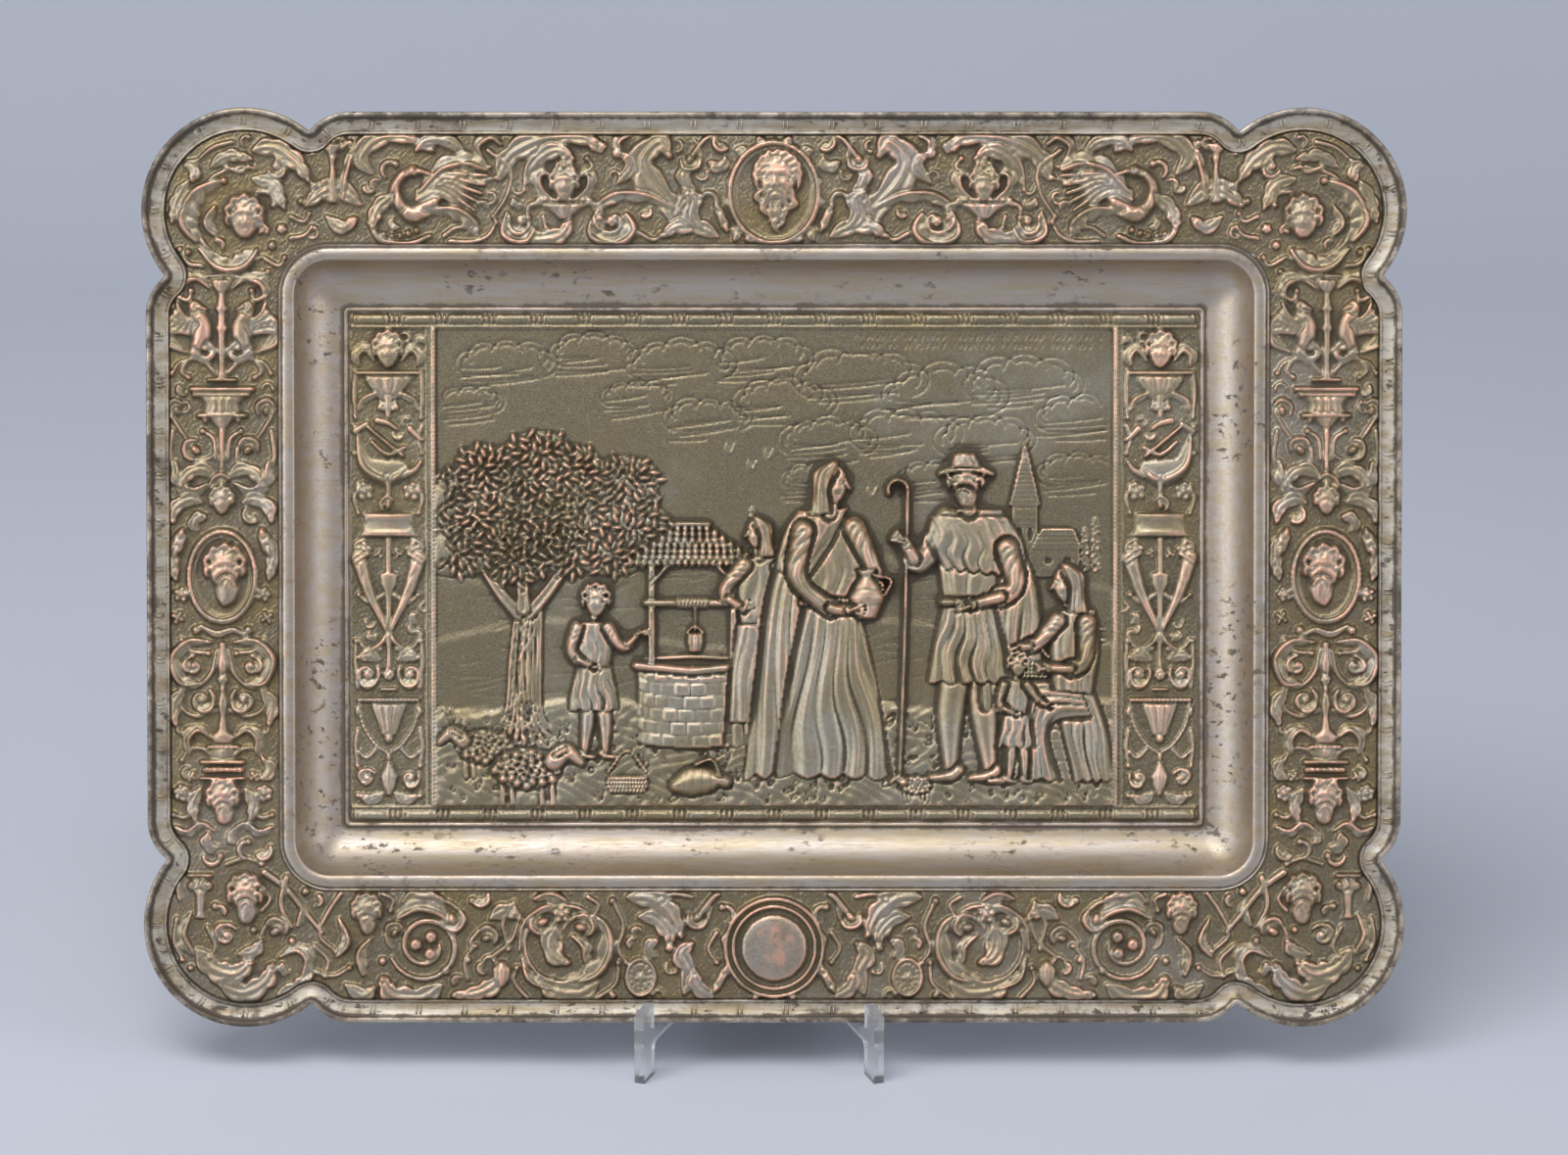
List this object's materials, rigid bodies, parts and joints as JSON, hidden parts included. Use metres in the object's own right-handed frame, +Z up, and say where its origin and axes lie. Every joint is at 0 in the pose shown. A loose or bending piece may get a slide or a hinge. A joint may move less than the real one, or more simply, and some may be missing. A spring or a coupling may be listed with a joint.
{
  "type": "decorative relief tray",
  "caption": "Oblong tray of silvered copper with lobed corners, a relief picture in its well and a grotesque border, leaning on a clear two-plate cradle.",
  "frame": {"origin": "on the floor, under the middle of the bounding box of the tray and its cradle", "axes": "+X along the tray's long side, -Y the way the picture faces, +Z up"},
  "size_m": [0.46, 0.1244, 0.3393],
  "materials": {
    "tray_metal": "worn silvering over copper, dark in the hollows",
    "clear_plastic": "clear, polished edges"
  },
  "bodies": {
    "root": {"relief_tray": "tray_metal", "stand_left_plate": "clear_plastic", "stand_right_plate": "clear_plastic"}
  },
  "joints": []
}
